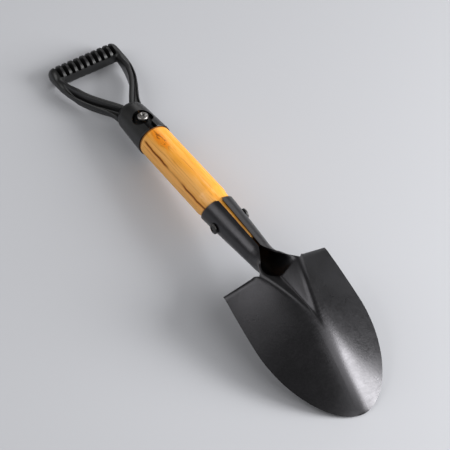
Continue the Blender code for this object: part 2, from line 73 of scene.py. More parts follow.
# Pressed blade
BLADE_LENGTH = 0.1367
BLADE_DROP = math.radians(23.1)
SHOULDER_HALF_WIDTH = 0.0524
SIDE_SWELL = 0.0016
WIDEST_FROM_SHOULDER = 0.052
SHOULDER_SLANT = 0.0072
SHOULDER_STEP = 0.0025
SHOULDER_STEP_WIDTH = 0.0035
SHOULDER_DROP = 0.0015
POINT_POWER_ALONG = 1.9
POINT_POWER_ACROSS = 1.8
CROWN_HEIGHT = 0.030
CROWN_FROM_SHOULDER = 0.051
CROWN_POWER = 2.5
RIDGE_ROUNDNESS = 0.3
TREAD_DEPTH = 0.005
TREAD_TURN = 0.0016
TREAD_RUN_IN = 0.006
FROG_HALF_WIDTH = 0.0208
FROG_FOLD_HALF_WIDTH = 0.0187
FROG_LENGTH = 0.056
FROG_TOP_SLOPE = 0.75
FROG_END_SLOPE = 1.2
FROG_FLOOR_ROUND = 0.0012
FROG_FOLD_ROUND = 0.0055
TROUGH_NARROWS_TO = 0.25
TROUGH_NARROWS_BY = 0.52
TROUGH_COLUMNS = 36
WING_COLUMNS = 30
SOCKET_ROWS = 30
THROAT_ROWS = 32
BLADE_ROWS = 96
SHEET_EDGE_ROUND = 0.0004
SHEET_EDGE_SEGMENTS = 3
SHEET_EDGE_ANGLE = math.radians(50.0)

# Grip and its ferrule
FERRULE_LIP = 0.001
FERRULE_LENGTH = 0.051
FERRULE_TAPER = 0.002
FERRULE_END_ROUND = 0.011
FERRULE_END_STEPS = 10
FERRULE_STEPS = 144
RIM_ROUND = 0.0006
RIM_STEPS = 4
GRIP_BAR_X = -0.133
GRIP_BAR_RADIUS = 0.0098
GRIP_BAR_FLAT = 0.0007
GRIP_HALF_WIDTH = 0.0382
GRIP_CORNER_POWER = 5.0
OPENING_CORNER = 0.002
SECTION_POINTS = 12
SECTION_SPANS = 4
ARM_TOP_WIDTH = 0.0097
ARM_TOP_HEIGHT = 0.0056
ARM_TOP_FROM = 0.72
ARM_ROOT_SPLIT = 0.0003
ARM_ROOT_SUNK = 0.0005
ARM_INNER_ROOT_DEPTH = 0.005
ARM_OUTER_ROOT_DEPTH = 0.007
ARM_INNER_HEIGHT = 0.009
ARM_OUTER_HEIGHT = 0.003
ARM_WEB = 0.0009
ARM_INNER_FLANGE = 0.005
ARM_OUTER_FLANGE = 0.0018
ARM_EDGE_ROUND = 0.0009
ARM_POCKET_END = 0.8
ARM_INNER_SWELL = (0.26, 0.42)
ARM_INNER_BEND = 0.38
ARM_OUTER_SWELL = (0.18, 0.405)
ARM_OUTER_BEND = 0.38
ARM_STATIONS = 64
CORNER_STATIONS = 96
BAR_STATIONS = 240
SLOT_COUNT = 10
SLOT_PITCH = 0.0065
SLOT_WIDTH = 0.0036
SLOT_WALL = 0.0006
SLOT_END = 0.0088
SLOT_FLOOR = 0.0016
SLOT_FLOOR_ROUND = 0.0012
UNDER_SLOT_TILT = math.radians(28.0)

# Screws
HEAD_RADIUS = 0.0052
HEAD_HEIGHT = 0.0028
HEAD_RIM = 0.001
HEAD_EDGE_BREAK = 0.0002
HEAD_DOME_STEPS = 14
HEAD_DOME_POWER = 0.7
SHANK_RADIUS = 0.0022
SHANK_LENGTH = 0.013
CROSS_LENGTH = 0.0060
CROSS_WIDTH = 0.0017
CROSS_FLOOR_SHARE = 0.45
CROSS_TOP_SHARE = 1.55
CROSS_TAPER = 0.4
CROSS_DEPTH = 0.0018
SCREW_STEPS = 64
SOCKET_SCREW_X = 0.1308
HANDLE_SCREW_X = -0.0195
RECESS_RADIUS = 0.0098
RECESS_WALL = 0.0022
HANDLE_SCREW_SEAT = 0.015
RECESS_CHANNEL_WIDTH = 0.008

# Camera: it looks at a point of the floor
CAMERA_AIM = (0.00321, 0.01154, 0.0)
CAMERA_AZIMUTH = math.radians(57.549)
CAMERA_ELEVATION = math.radians(49.898)
CAMERA_ROLL = math.radians(0.3647)
CAMERA_DISTANCE = 1.88029
CAMERA_LENS = 164.725
CAMERA_SENSOR = 36.0

# Figure of the shaft's wood: lengths along it and angles round it from its top
BAND_START = math.radians(-30.0)
BAND_SLOPE = 4.59
BAND_WANDER = 0.5
KNOT_MIDDLE = (0.017, math.radians(-10.0))
KNOT_SIZE = (0.02, math.radians(18.0))
KNOT_WANDER = 1.6
STREAK_START = math.radians(-48.6)
STREAK_SLOPE = -1.658
STREAK_BEND = 0.16
STREAK_FAINT_X = 0.06

# Finishes: linear colours, roughness ranges and heights of relief
NOISE_RANGE = (0.3, 0.7)
STEEL_COLOURS = ((0.0025, 0.0025, 0.0027), (0.0040, 0.0040, 0.0044))
STEEL_SPECULAR_TINT = (0.96, 0.94, 1.0, 1.0)
STEEL_IOR = 1.58
STEEL_ROUGHNESS = (0.27, 0.31)
STROKE_ROUGHNESS = (0.0, 0.08)
STEEL_RELIEF = 0.00003
WOOD_PALE_SIDE = (0.95, 0.475, 0.125)
WOOD_DEEP_SIDE = (0.86, 0.372, 0.050)
WOOD_PALE_LINE = (1.0, 0.62, 0.25)
WOOD_PALE_LINE_SHARE = 0.35
WOOD_BROWN_LINE = (0.38, 0.085, 0.004)
WOOD_BROWN_LINE_SHARE = 0.5
# Painted shade: the dark line on the wood at the ferrule's rim and the socket's mouth, standing in for the
# shadow in those gaps
WOOD_RIM_PAINTED_SHADE = (0.12, 0.035, 0.008)
WOOD_RIM_SHADE_SHARE = 0.85
WOOD_ROUGHNESS = (0.45, 0.6)
WOOD_RELIEF = 0.00004
LACQUER_WEIGHT = 0.4
LACQUER_ROUGHNESS = 0.16
KNOT_COLOUR = (0.82, 0.235, 0.008)
KNOT_SHARE = 0.8
KNOT_MARK_COLOUR = (0.22, 0.06, 0.008)
KNOT_MARK_SHARE = 0.9
STREAK_COLOUR = (0.16, 0.04, 0.002)
STREAK_HALO_COLOUR = (0.62, 0.17, 0.015)
PLASTIC_COLOURS = ((0.0065, 0.0065, 0.0067), (0.0100, 0.0100, 0.0103))
PLASTIC_ROUGHNESS = (0.31, 0.39)
# The second, lower specular level belongs to the painted shade in the screw's recess and channel
PLASTIC_SPECULAR = (0.5, 0.12)
PLASTIC_RELIEF = 0.00003
# Painted shade: the darker colour of the screw's recess and channel, which stands in for the shade in them;
# the spot colour is brown dust there
RECESS_PAINTED_SHADE_COLOUR = (0.0012, 0.0012, 0.0013)
GRIME_SPOT_COLOUR = (0.06, 0.03, 0.012)
PLATED_COLOURS = ((0.31, 0.305, 0.30), (0.12, 0.10, 0.08))
PLATED_ROUGHNESS = 0.36
BLACKENED_COLOURS = ((0.020, 0.020, 0.021), (0.05, 0.045, 0.04))
BLACKENED_ROUGHNESS = 0.32
TARNISH_ROUGHNESS = 0.15
SCREW_RELIEF = 0.00004

# Floor and light
FLOOR_SIZE = 24.0
FLOOR_COLOUR = (0.457, 0.463, 0.487, 1.0)
FLOOR_ROUGHNESS = 0.9
KEY_ANGLES = (math.radians(49.5), math.radians(24.0))
KEY_DISTANCE = 1.6
KEY_SIZE = (0.80, 0.92)
KEY_POWER = 41.0
FILL_ANGLES = (math.radians(-119.0), math.radians(41.0))
FILL_DISTANCE = 1.3
FILL_SIZE = (0.8, 0.85)
FILL_POWER = 5.5
TOP_ANGLES = (math.radians(22.0), math.radians(47.0))
TOP_DISTANCE = 2.5
TOP_SIZE = (1.9, 1.7)
TOP_POWER = 24.0
BACK_ANGLES = (math.radians(134.0), math.radians(32.0))
BACK_DISTANCE = 1.6
BACK_SIZE = (1.2, 1.0)
BACK_POWER = 4.5
WORLD_GREY = 0.16

# Angle between faces past which an edge is sharp
SHARP_EDGE = math.radians(38.0)
# Distance within which points of a turned solid are one
WELD_DISTANCE = 1e-6

# Worked out from the sizes above
TENON_RADIUS = SHAFT_RADIUS - SHAFT_SHOULDER
SOCKET_NECK_X = SOCKET_MOUTH_X + SOCKET_LENGTH
FROG_TOP_X = SOCKET_NECK_X + THROAT_LENGTH
SHOULDER_X = FROG_TOP_X - SHOULDER_SLANT - SHOULDER_STEP
POINT_X = SHOULDER_X + BLADE_LENGTH
BLADE_HALF_WIDTH = SHOULDER_HALF_WIDTH + SIDE_SWELL
WIDEST_X = SHOULDER_X + WIDEST_FROM_SHOULDER
CROWN_X = SHOULDER_X + CROWN_FROM_SHOULDER
FERRULE_RADIUS = SHAFT_RADIUS + FERRULE_LIP


def tool_frame():
    """The tool frame in the row frame, from the flat of the grip's bar that the record names as a mount."""
    mount = frame["record"]["mounts"][0]
    along = Vector(mount["axis"]).normalized()
    across = Vector((0.0, 1.0, 0.0))
    out = along.cross(across)
    flat = GRIP_BAR_X + GRIP_BAR_RADIUS - GRIP_BAR_FLAT
    origin = Vector(mount["pos_m"]) - along * flat
    turn = Matrix((along, across, out)).transposed().to_4x4()
    return Matrix.Translation(origin) @ turn


TOOL = tool_frame()


def smoothstep(low, high, value):
    share = min(max((value - low) / (high - low), 0.0), 1.0)
    return share * share * (3.0 - 2.0 * share)


def smooth_min(first, second, width):
    """The lower of two heights, with the fold between them rounded over a given width."""
    share = max(width - abs(first - second), 0.0) / width
    return min(first, second) - share * share * width / 4.0


def object_from(name, shape):
    """A smooth object of this bmesh, which is in the tool frame."""
    bmesh.ops.transform(shape, matrix=TOOL, verts=shape.verts)
    mesh = bpy.data.meshes.new(name)
    shape.to_mesh(mesh)
    shape.free()
    mesh.shade_smooth()
    made = bpy.data.objects.new(name, mesh)
    bpy.context.scene.collection.objects.link(made)
    return made


def closed(shape):
    bmesh.ops.recalc_face_normals(shape, faces=shape.faces)
    return shape


def combine(target, other, operation, solver="EXACT"):
    """Cuts or joins another object, which is used up."""
    modifier = target.modifiers.new(other.name, "BOOLEAN")
    modifier.operation = operation
    modifier.solver = solver
    modifier.object = other
    settle(target)
    bpy.data.objects.remove(other, do_unlink=True)


def settle(target):
    """Turns an object's modifiers into its mesh."""
    graph = bpy.context.evaluated_depsgraph_get()
    mesh = bpy.data.meshes.new_from_object(target.evaluated_get(graph))
    target.modifiers.clear()
    old = target.data
    target.data = mesh
    bpy.data.meshes.remove(old)


def finish_piece(piece, material, node):
    """Shades a piece, gives it its finish and puts it in the place of its CAD node."""
    piece.data.shade_smooth()
    piece.data.set_sharp_from_angle(angle=SHARP_EDGE)
    weighted = piece.modifiers.new("weighted_normals", "WEIGHTED_NORMAL")
    weighted.keep_sharp = True
    piece.data.materials.clear()
    piece.data.materials.append(material)
    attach(piece, "root")
    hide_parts(node)


def turned(profile, steps):
    """A solid of revolution about +X from (along, radius) points that start and end on the axis."""
    shape = bmesh.new()
    points = [shape.verts.new((along, 0.0, radius)) for along, radius in profile]
    edges = [shape.edges.new(pair) for pair in zip(points, points[1:])]
    bmesh.ops.spin(shape, geom=points + edges, cent=(0.0, 0.0, 0.0), axis=(1.0, 0.0, 0.0),
                   dvec=(0.0, 0.0, 0.0), angle=math.tau, steps=steps, use_merge=True)
    bmesh.ops.remove_doubles(shape, verts=shape.verts, dist=WELD_DISTANCE)
    return closed(shape)


def lofted(rings):
    """A closed solid through rings of equally many points, with its two ends capped."""
    shape = bmesh.new()
    made = [[shape.verts.new(point) for point in ring] for ring in rings]
    for ring, following in zip(made, made[1:]):
        for k in range(len(ring)):
            shape.faces.new((ring[k - 1], ring[k], following[k], following[k - 1]))
    shape.faces.new(made[0])
    shape.faces.new(made[-1])
    return closed(shape)


def box(low, high):
    shape = bmesh.new()
    bmesh.ops.create_cube(shape, size=1.0)
    low, high = Vector(low), Vector(high)
    bmesh.ops.scale(shape, vec=high - low, verts=shape.verts)
    bmesh.ops.translate(shape, vec=(low + high) / 2.0, verts=shape.verts)
    return shape


def rod(centre, radius, length, axis, steps):
    """A plain round bar about a point, along "Y" or "Z", to cut with."""
    shape = bmesh.new()
    bmesh.ops.create_cone(shape, cap_ends=True, segments=steps, radius1=radius, radius2=radius, depth=length)
    if axis == "Y":
        for vert in shape.verts:
            vert.co = (vert.co.x, vert.co.z, -vert.co.y)
    bmesh.ops.translate(shape, vec=centre, verts=shape.verts)
    return shape


# Blade

def socket_share(along):
    """Share of the way from the socket's mouth to its neck, which the throat keeps."""
    return (min(along, SOCKET_NECK_X) - SOCKET_MOUTH_X) / SOCKET_LENGTH


def socket_radius(along):
    """Inner radius of the rolled socket on its front line."""
    return SHAFT_RADIUS + SOCKET_PROUD - SOCKET_TAPER * socket_share(along) - SHEET


def socket_pinch(along):
    """How far the flaps are pressed in at the seam."""
    return SOCKET_PINCH * max(socket_share(along), 0.0) ** 2


def socket_point(along, turn):
    """A point of the socket's inner face at a share of its half turn from the front line to the seam."""
    seam = SEAM_AT_MOUTH + (SEAM_AT_NECK - SEAM_AT_MOUTH) * socket_share(along)
    half_turn = math.pi - math.asin(seam / 2.0 / socket_radius(along))
    angle = turn * half_turn
    radius = socket_radius(along) - socket_pinch(along) * (1.0 - math.cos(angle)) / 2.0
    return Vector((along, radius * math.sin(angle), -radius * math.cos(angle)))


def socket_mouth(turn):
    """Station of the mouth, cut on a slant with its front line highest and its flap corners rounded."""
    corner = max(abs(turn) - 1.0 + FLAP_CORNER_SHARE, 0.0) / FLAP_CORNER_SHARE
    return SOCKET_MOUTH_X - MOUTH_SLANT * math.cos(turn * math.pi) + FLAP_CORNER * corner ** 2


def half_width(along):
    """Half the blade's width down its sides, to the station where the point begins."""
    share = max(WIDEST_X - along, 0.0) / WIDEST_FROM_SHOULDER
    return BLADE_HALF_WIDTH - SIDE_SWELL * share * share


def point_half_width(along):
    """Half the blade's width at any station, down to nothing at the point."""
    share = min(max(along - WIDEST_X, 0.0) / (POINT_X - WIDEST_X), 1.0)
    return half_width(along) * (1.0 - share ** POINT_POWER_ALONG) ** (1.0 / POINT_POWER_ACROSS)


def point_outline(across):
    """Station where the blade ends at a share of its half width."""
    share = (1.0 - abs(across) ** POINT_POWER_ACROSS) ** (1.0 / POINT_POWER_ALONG)
    return WIDEST_X + (POINT_X - WIDEST_X) * share


def trough_share(down):
    """Share of the half width that the trough's columns take at a share of the way down."""
    narrowing = min(down / TROUGH_NARROWS_BY, 1.0)
    return FROG_HALF_WIDTH / SHOULDER_HALF_WIDTH * (1.0 - (1.0 - TROUGH_NARROWS_TO) * narrowing)


def column_share(column, down):
    """Share of the half width of a column: the trough's run from -1 to 1 and the wings' on to 2."""
    inner = trough_share(down)
    if abs(column) <= 1.0:
        return column * inner
    return math.copysign(inner + (1.0 - inner) * (abs(column) - 1.0), column)


def outward_of_frog(across):
    """Distance outward from the frog along the top edge."""
    return max(abs(across) * SHOULDER_HALF_WIDTH - FROG_HALF_WIDTH, 0.0)


def shoulder_line(across):
    """Station of the top edge: the frog's mouth in the middle, a small step, then the slanting shoulder."""
    outward = outward_of_frog(across)
    slant = SHOULDER_SLANT * outward / (SHOULDER_HALF_WIDTH - FROG_HALF_WIDTH)
    return FROG_TOP_X - SHOULDER_STEP * smoothstep(0.0, SHOULDER_STEP_WIDTH, outward) - slant


def dish_height(along, across):
    """Height of the plain crowned dish, whose rim lies in one plane, at a share of its half width."""
    rim = -SHOULDER_DROP - math.tan(BLADE_DROP) * (along - SHOULDER_X)
    crown_length = POINT_X - CROWN_X
    crown = CROWN_HEIGHT * (1.0 - (abs(along - CROWN_X) / crown_length) ** CROWN_POWER)
    fall = math.hypot(across, RIDGE_ROUNDNESS) - RIDGE_ROUNDNESS
    whole_fall = math.hypot(1.0, RIDGE_ROUNDNESS) - RIDGE_ROUNDNESS
    return rim + crown * (1.0 - fall / whole_fall)


def frog_height(along, sideways):
    """Height of the frog's walls, which fall from its two folds and grow steeper towards its lower end."""
    down = (along - FROG_TOP_X) / FROG_LENGTH
    fold = FROG_FOLD_HALF_WIDTH * (1.0 - down)
    slope = FROG_TOP_SLOPE + (FROG_END_SLOPE - FROG_TOP_SLOPE) * min(max(down, 0.0), 1.0)
    rim = dish_height(along, max(fold, 0.0) / half_width(along))
    return rim - slope * (fold + FROG_FLOOR_ROUND - math.hypot(sideways, FROG_FLOOR_ROUND))


def back_height(along, sideways):
    """Height of the blade's back: the dish with the frog pressed in."""
    across = min(abs(sideways) / max(point_half_width(along), SHEET), 1.0)
    return smooth_min(dish_height(along, across), frog_height(along, sideways), FROG_FOLD_ROUND)


def blade_point(down, column):
    """A point of the back on one column of the sheet at a share of the way down."""
    at_top = column_share(column, 0.0)
    top = shoulder_line(at_top)
    along = top + down * (point_outline(column_share(column, 1.0)) - top)
    sideways = column_share(column, down) * half_width(along)
    turned_in = max(1.0 - (along - top) / TREAD_DEPTH, 0.0) ** 2
    tread = TREAD_TURN * smoothstep(0.0, TREAD_RUN_IN, outward_of_frog(at_top)) * turned_in
    return Vector((along, sideways, back_height(along, sideways) - tread))


def throat_point(down, turn):
    """A point between the rolled socket and the open frog, whose flaps spread as they run down."""
    along = SOCKET_NECK_X + down * THROAT_LENGTH
    opened = down ** (THROAT_FLOOR_POWER + (THROAT_EDGE_POWER - THROAT_FLOOR_POWER) * abs(turn))
    sideways = turn * FROG_HALF_WIDTH
    spread = Vector((along, sideways, back_height(along, sideways)))
    return socket_point(along, turn).lerp(spread, opened)


def blade_sheet():
    """The back of the blade and the inside of its socket as one grid of faces, before it has a thickness."""
    trough = [k / TROUGH_COLUMNS for k in range(-TROUGH_COLUMNS, TROUGH_COLUMNS + 1)]
    wing = [1.0 + math.sin(math.pi / 2.0 * k / WING_COLUMNS) for k in range(1, WING_COLUMNS + 1)]
    wide = [-column for column in reversed(wing)] + trough + wing
    starts = [socket_mouth(turn) for turn in trough]
    rows = []
    for row in range(SOCKET_ROWS):
        share = row / SOCKET_ROWS
        rows.append([socket_point(start + share * (SOCKET_NECK_X - start), turn)
                     for start, turn in zip(starts, trough)])
    for row in range(THROAT_ROWS):
        rows.append([throat_point(row / THROAT_ROWS, turn) for turn in trough])
    for row in range(BLADE_ROWS + 1):
        rows.append([blade_point(row / BLADE_ROWS, column) for column in wide])
    shape = bmesh.new()
    made = [[shape.verts.new(point) for point in row] for row in rows]
    for upper, lower in zip(made, made[1:]):
        skip = (len(lower) - len(upper)) // 2
        for k in range(len(upper) - 1):
            shape.faces.new((upper[k], lower[k + skip], lower[k + skip + 1], upper[k + 1]))
    return closed(shape)


def make_blade(material):
    blade = object_from("blade_sheet", blade_sheet())
    if blade.data.polygons[-1].normal.z < 0.0:
        blade.data.flip_normals()
    sheet = blade.modifiers.new("sheet", "SOLIDIFY")
    sheet.thickness = SHEET
    sheet.offset = -1.0
    sheet.use_even_offset = True
    settle(blade)
    hole = rod((SOCKET_SCREW_X, 0.0, 0.0), SHANK_RADIUS + FIT_GAP, 4.0 * SHAFT_RADIUS, "Y", SCREW_STEPS)
    combine(blade, object_from("blade_screw_holes", hole), "DIFFERENCE")
    edges = blade.modifiers.new("cut_edges", "BEVEL")
    edges.width = SHEET_EDGE_ROUND
    edges.segments = SHEET_EDGE_SEGMENTS
    edges.limit_method = "ANGLE"
    edges.angle_limit = SHEET_EDGE_ANGLE
    settle(blade)
    finish_piece(blade, material, "blade")


# Shaft

def make_shaft(material):
    """Turned wood: a tenon in the ferrule, a plain length to hold, and a taper in the socket."""
    lead = SOCKET_MOUTH_X - MOUTH_SLANT
    end = SOCKET_MOUTH_X + SHAFT_IN_SOCKET
    inside = socket_radius(lead) - FIT_GAP
    tip = socket_radius(end) - socket_pinch(end) - FIT_GAP
    bare = lead - SOCKET_LEAD_IN
    plain = [(FIT_GAP + (bare - FIT_GAP) * k / SHAFT_RINGS, SHAFT_RADIUS) for k in range(SHAFT_RINGS + 1)]
    profile = [(-TENON_LENGTH, 0.0), (-TENON_LENGTH, TENON_RADIUS - TENON_CHAMFER),
               (-TENON_LENGTH + TENON_CHAMFER, TENON_RADIUS), (FIT_GAP, TENON_RADIUS), *plain, (lead, inside),
               (end - TENON_CHAMFER, tip), (end, tip - TENON_CHAMFER), (end, 0.0)]
    shaft = object_from("shaft_wood", turned(profile, SHAFT_STEPS))
    pilot_radius = SHANK_RADIUS + FIT_GAP
    pilot_length = 2.0 * SHAFT_RADIUS
    depth = socket_screw_seat() - SHANK_LENGTH - FIT_GAP
    for side in (-1.0, 1.0):
        middle = (SOCKET_SCREW_X, side * (depth + pilot_length / 2.0), 0.0)
        pilot = rod(middle, pilot_radius, pilot_length, "Y", SCREW_STEPS)
        combine(shaft, object_from("side_pilot", pilot), "DIFFERENCE")
    depth = HANDLE_SCREW_SEAT - SHANK_LENGTH - FIT_GAP
    middle = (HANDLE_SCREW_X, 0.0, depth + pilot_length / 2.0)
    pilot = rod(middle, pilot_radius, pilot_length, "Z", SCREW_STEPS)
    combine(shaft, object_from("top_pilot", pilot), "DIFFERENCE")
    finish_piece(shaft, material, "shaft")


# Grip

def ferrule_outline():
    """(along, radius) points of the ferrule with its blind bore, from end to end on the axis."""
    top = FERRULE_RADIUS - FERRULE_TAPER
    bore = TENON_RADIUS + FIT_GAP
    end = -FERRULE_LENGTH
    corner = []
    for step in range(FERRULE_END_STEPS + 1):
        angle = math.pi / 2.0 * step / FERRULE_END_STEPS
        corner.append((end + FERRULE_END_ROUND * (1.0 - math.cos(angle)),
                       top - FERRULE_END_ROUND * (1.0 - math.sin(angle))))
    rim = []
    for step in range(RIM_STEPS + 1):
        angle = math.pi / 2.0 * step / RIM_STEPS
        rim.append((-RIM_ROUND * (1.0 - math.sin(angle)),
                    FERRULE_RADIUS - RIM_ROUND * (1.0 - math.cos(angle))))
    return [(end, 0.0), *corner, *rim, (0.0, bore),
            (-TENON_LENGTH - FIT_GAP, bore), (-TENON_LENGTH - FIT_GAP, 0.0)]


def bezier(points, share):
    """A point of the cubic curve with these four control points."""
    first, second, third, last = (Vector(point) for point in points)
    rest = 1.0 - share
    return (first * rest ** 3 + second * 3.0 * rest ** 2 * share
            + third * 3.0 * rest * share ** 2 + last * share ** 3)


def grip_corner():
    """Plan point in the hand opening that the rings of the right corner fan around."""
    flat = GRIP_BAR_X + GRIP_BAR_RADIUS - GRIP_BAR_FLAT
    return Vector((flat + OPENING_CORNER, GRIP_HALF_WIDTH - ARM_TOP_WIDTH - OPENING_CORNER))


def corner_reach(turn):
    """Distance from that point to the outline, from straight back at 0 to straight out at a right angle."""
    back = OPENING_CORNER + 2.0 * GRIP_BAR_RADIUS - GRIP_BAR_FLAT
    out = OPENING_CORNER + ARM_TOP_WIDTH
    power = GRIP_CORNER_POWER
    return ((math.cos(turn) / back) ** power + (math.sin(turn) / out) ** power) ** (-1.0 / power)


def arm_edges(share):
    """Plan points of the right arm's inner and outer edge, from the ferrule at 0 to the corner at 1."""
    root = -FERRULE_LENGTH
    reach = root - GRIP_BAR_X
    outer_root = FERRULE_RADIUS - FERRULE_TAPER - ARM_ROOT_SUNK
    inner_top = GRIP_HALF_WIDTH - ARM_TOP_WIDTH
    top = grip_corner().x
    inner = bezier(((root + ARM_INNER_ROOT_DEPTH, ARM_ROOT_SPLIT),
                    (root - ARM_INNER_SWELL[0] * reach, ARM_INNER_SWELL[1] * inner_top),
                    (root - ARM_INNER_BEND * reach, inner_top), (top, inner_top)), share)
    outer = bezier(((root + ARM_OUTER_ROOT_DEPTH, outer_root),
                    (root - ARM_OUTER_SWELL[0] * reach, ARM_OUTER_SWELL[1] * GRIP_HALF_WIDTH),
                    (root - ARM_OUTER_BEND * reach, GRIP_HALF_WIDTH), (top, GRIP_HALF_WIDTH)), share)
    return inner, outer


def round_section(width, height):
    """(across, height) points of half a grip section: round, with a flat towards the hand opening."""
    start = math.acos(1.0 - GRIP_BAR_FLAT / GRIP_BAR_RADIUS)
    end = math.pi * (1.0 - 0.5 / SECTION_POINTS)
    points = []
    for k in range(SECTION_POINTS):
        angle = start + (end - start) * k / (SECTION_POINTS - 1)
        across = (math.cos(start) - math.cos(angle)) / (math.cos(start) - math.cos(end))
        points.append((width * across, height * math.sin(angle)))
    return points


def arm_section(width, share):
    """(across, height) points of half an arm: a tall inner flange, a pocketed web and a low outer flange.

    The multiples of the edge's round say how soft each of the section's corners is.
    """
    edge = ARM_EDGE_ROUND
    tall = ARM_INNER_HEIGHT
    low = ARM_OUTER_HEIGHT
    rim = width - ARM_OUTER_FLANGE
    widening = min(share / ARM_POCKET_END, 1.0) ** 3
    flange = ARM_INNER_FLANGE + (rim - 2.0 * edge - ARM_INNER_FLANGE) * widening
    return [(0.0, tall - 2.0 * edge), (0.3 * edge, tall - 0.7 * edge), (1.4 * edge, tall),
            (flange - edge, tall), (flange - 0.2 * edge, tall - 0.5 * edge), (flange, ARM_WEB + edge),
            (flange + 0.5 * edge, ARM_WEB), (rim - 0.5 * edge, ARM_WEB), (rim, ARM_WEB + 0.5 * edge),
            (rim + 0.2 * edge, low), (width - edge, low), (width, low - edge)]


def smooth_loop(points):
    """A closed smooth curve near the corners of a polygon, with several points for each of its sides."""
    count = len(points)
    loop = []
    for k in range(count):
        before, here = points[k - 1], points[k]
        following, after = points[(k + 1) % count], points[(k + 2) % count]
        for step in range(SECTION_SPANS):
            t = step / SECTION_SPANS
            weights = ((1.0 - t) ** 3, 3.0 * t ** 3 - 6.0 * t ** 2 + 4.0,
                       -3.0 * t ** 3 + 3.0 * t ** 2 + 3.0 * t + 1.0, t ** 3)
            loop.append((before * weights[0] + here * weights[1]
                         + following * weights[2] + after * weights[3]) / 6.0)
    return loop


def grip_ring(inner, outward, half_section):
    """A smooth ring of a grip section in space, from its upper half and its mirrored lower half."""
    whole = half_section + [(across, -height) for across, height in reversed(half_section)]
    return [slotted(Vector((inner.x + outward.x * point.x, inner.y + outward.y * point.x, point.y)))
            for point in smooth_loop([Vector(corner) for corner in whole])]


def slot_ceiling(point):
    """Height that the slots leave of the bar at a point: their floor inside them, far above it elsewhere."""
    nearest = round(point.y / SLOT_PITCH - 0.5) + 0.5
    limit = (SLOT_COUNT - 1) / 2.0
    nearest = min(max(nearest, -limit), limit)
    off = abs(point.y - nearest * SLOT_PITCH)
    inside = 1.0 - smoothstep(SLOT_WIDTH / 2.0 - SLOT_WALL / 2.0, SLOT_WIDTH / 2.0 + SLOT_WALL / 2.0, off)
    along = 1.0 - smoothstep(SLOT_END - SLOT_WALL / 2.0, SLOT_END + SLOT_WALL / 2.0, point.x - GRIP_BAR_X)
    above = GRIP_BAR_RADIUS + SLOT_FLOOR_ROUND
    return above + (SLOT_FLOOR - above) * inside * along


def slotted(point):
    """A point of the grip after the slots over and under its bar. Those under it are tilted."""
    ceiling = slot_ceiling(point)
    if ceiling > GRIP_BAR_RADIUS:
        return point
    height = smooth_min(point.z, ceiling, SLOT_FLOOR_ROUND) if point.z > 0.0 else point.z
    sine, cosine = math.sin(UNDER_SLOT_TILT), math.cos(UNDER_SLOT_TILT)
    along = (point.x - GRIP_BAR_X) * cosine - height * sine
    below = -(point.x - GRIP_BAR_X) * sine - height * cosine
    if below > 0.0:
        below = smooth_min(below, ceiling, SLOT_FLOOR_ROUND)
    return Vector((GRIP_BAR_X + along * cosine - below * sine, point.y, -along * sine - below * cosine))


def grip_frame():
    """The two arms and the bar between them as one loft, with rounded corners."""
    rings = []
    for station in range(ARM_STATIONS + 1):
        share = station / ARM_STATIONS
        inner, outer = arm_edges(share)
        width = (outer - inner).length
        rounding = smoothstep(ARM_TOP_FROM, 1.0, share)
        section = []
        for flanged, rounded in zip(arm_section(width, share), round_section(width, ARM_TOP_HEIGHT)):
            section.append(tuple(Vector(flanged).lerp(Vector(rounded), rounding)))
        rings.append(grip_ring(inner, (outer - inner) / width, section))
    middle = grip_corner()
    for step in range(1, CORNER_STATIONS + 1):
        turn = math.pi / 2.0 * (1.0 - step / CORNER_STATIONS)
        outward = Vector((-math.cos(turn), math.sin(turn)))
        height = GRIP_BAR_RADIUS + (ARM_TOP_HEIGHT - GRIP_BAR_RADIUS) * smoothstep(0.0, math.pi / 2.0, turn)
        section = round_section(corner_reach(turn) - OPENING_CORNER, height)
        rings.append(grip_ring(middle + outward * OPENING_CORNER, outward, section))
    back = Vector((-1.0, 0.0))
    section = round_section(corner_reach(0.0) - OPENING_CORNER, GRIP_BAR_RADIUS)
    bar = []
    for step in range(1, BAR_STATIONS):
        sideways = middle.y * (1.0 - 2.0 * step / BAR_STATIONS)
        bar.append(grip_ring(Vector((middle.x, sideways)) + back * OPENING_CORNER, back, section))
    mirrored = [[(x, -y, z) for x, y, z in ring] for ring in reversed(rings)]
    return lofted(rings + bar + mirrored)


def screw_recess():
    """Cutter for the handle screw's round recess and its channel to the rim, with a floor round the bore."""
    floor = TENON_RADIUS + FIT_GAP + RECESS_WALL
    deep = 2.0 * SHAFT_RADIUS
    well = rod((HANDLE_SCREW_X, 0.0, deep / 2.0), RECESS_RADIUS, deep, "Z", FERRULE_STEPS)
    recess = object_from("recess", well)
    half = RECESS_CHANNEL_WIDTH / 2.0
    channel = box((HANDLE_SCREW_X, -half, FIT_GAP), (SHAFT_RADIUS, half, deep + FIT_GAP))
    combine(recess, object_from("recess_channel", channel), "UNION")
    beyond = 2.0 * deep
    core = turned([(-beyond, 0.0), (-beyond, floor), (beyond, floor), (beyond, 0.0)], FERRULE_STEPS)
    combine(recess, object_from("recess_floor", core), "DIFFERENCE")
    return recess


def make_grip(material):
    grip = object_from("grip_moulding", turned(ferrule_outline(), FERRULE_STEPS))
    combine(grip, object_from("grip_frame", grip_frame()), "UNION", "MANIFOLD")
    combine(grip, screw_recess(), "DIFFERENCE")
    middle = (HANDLE_SCREW_X, 0.0, TENON_RADIUS)
    hole = rod(middle, SHANK_RADIUS + FIT_GAP, 2.0 * TENON_RADIUS, "Z", SCREW_STEPS)
    combine(grip, object_from("grip_screw_hole", hole), "DIFFERENCE")
    finish_piece(grip, material, "d_handle")


# Screws

def socket_screw_seat():
    """Distance of a socket screw's underside from the shaft's axis."""
    side = socket_radius(SOCKET_SCREW_X) - socket_pinch(SOCKET_SCREW_X) / 2.0
    return side + SHEET + FIT_GAP


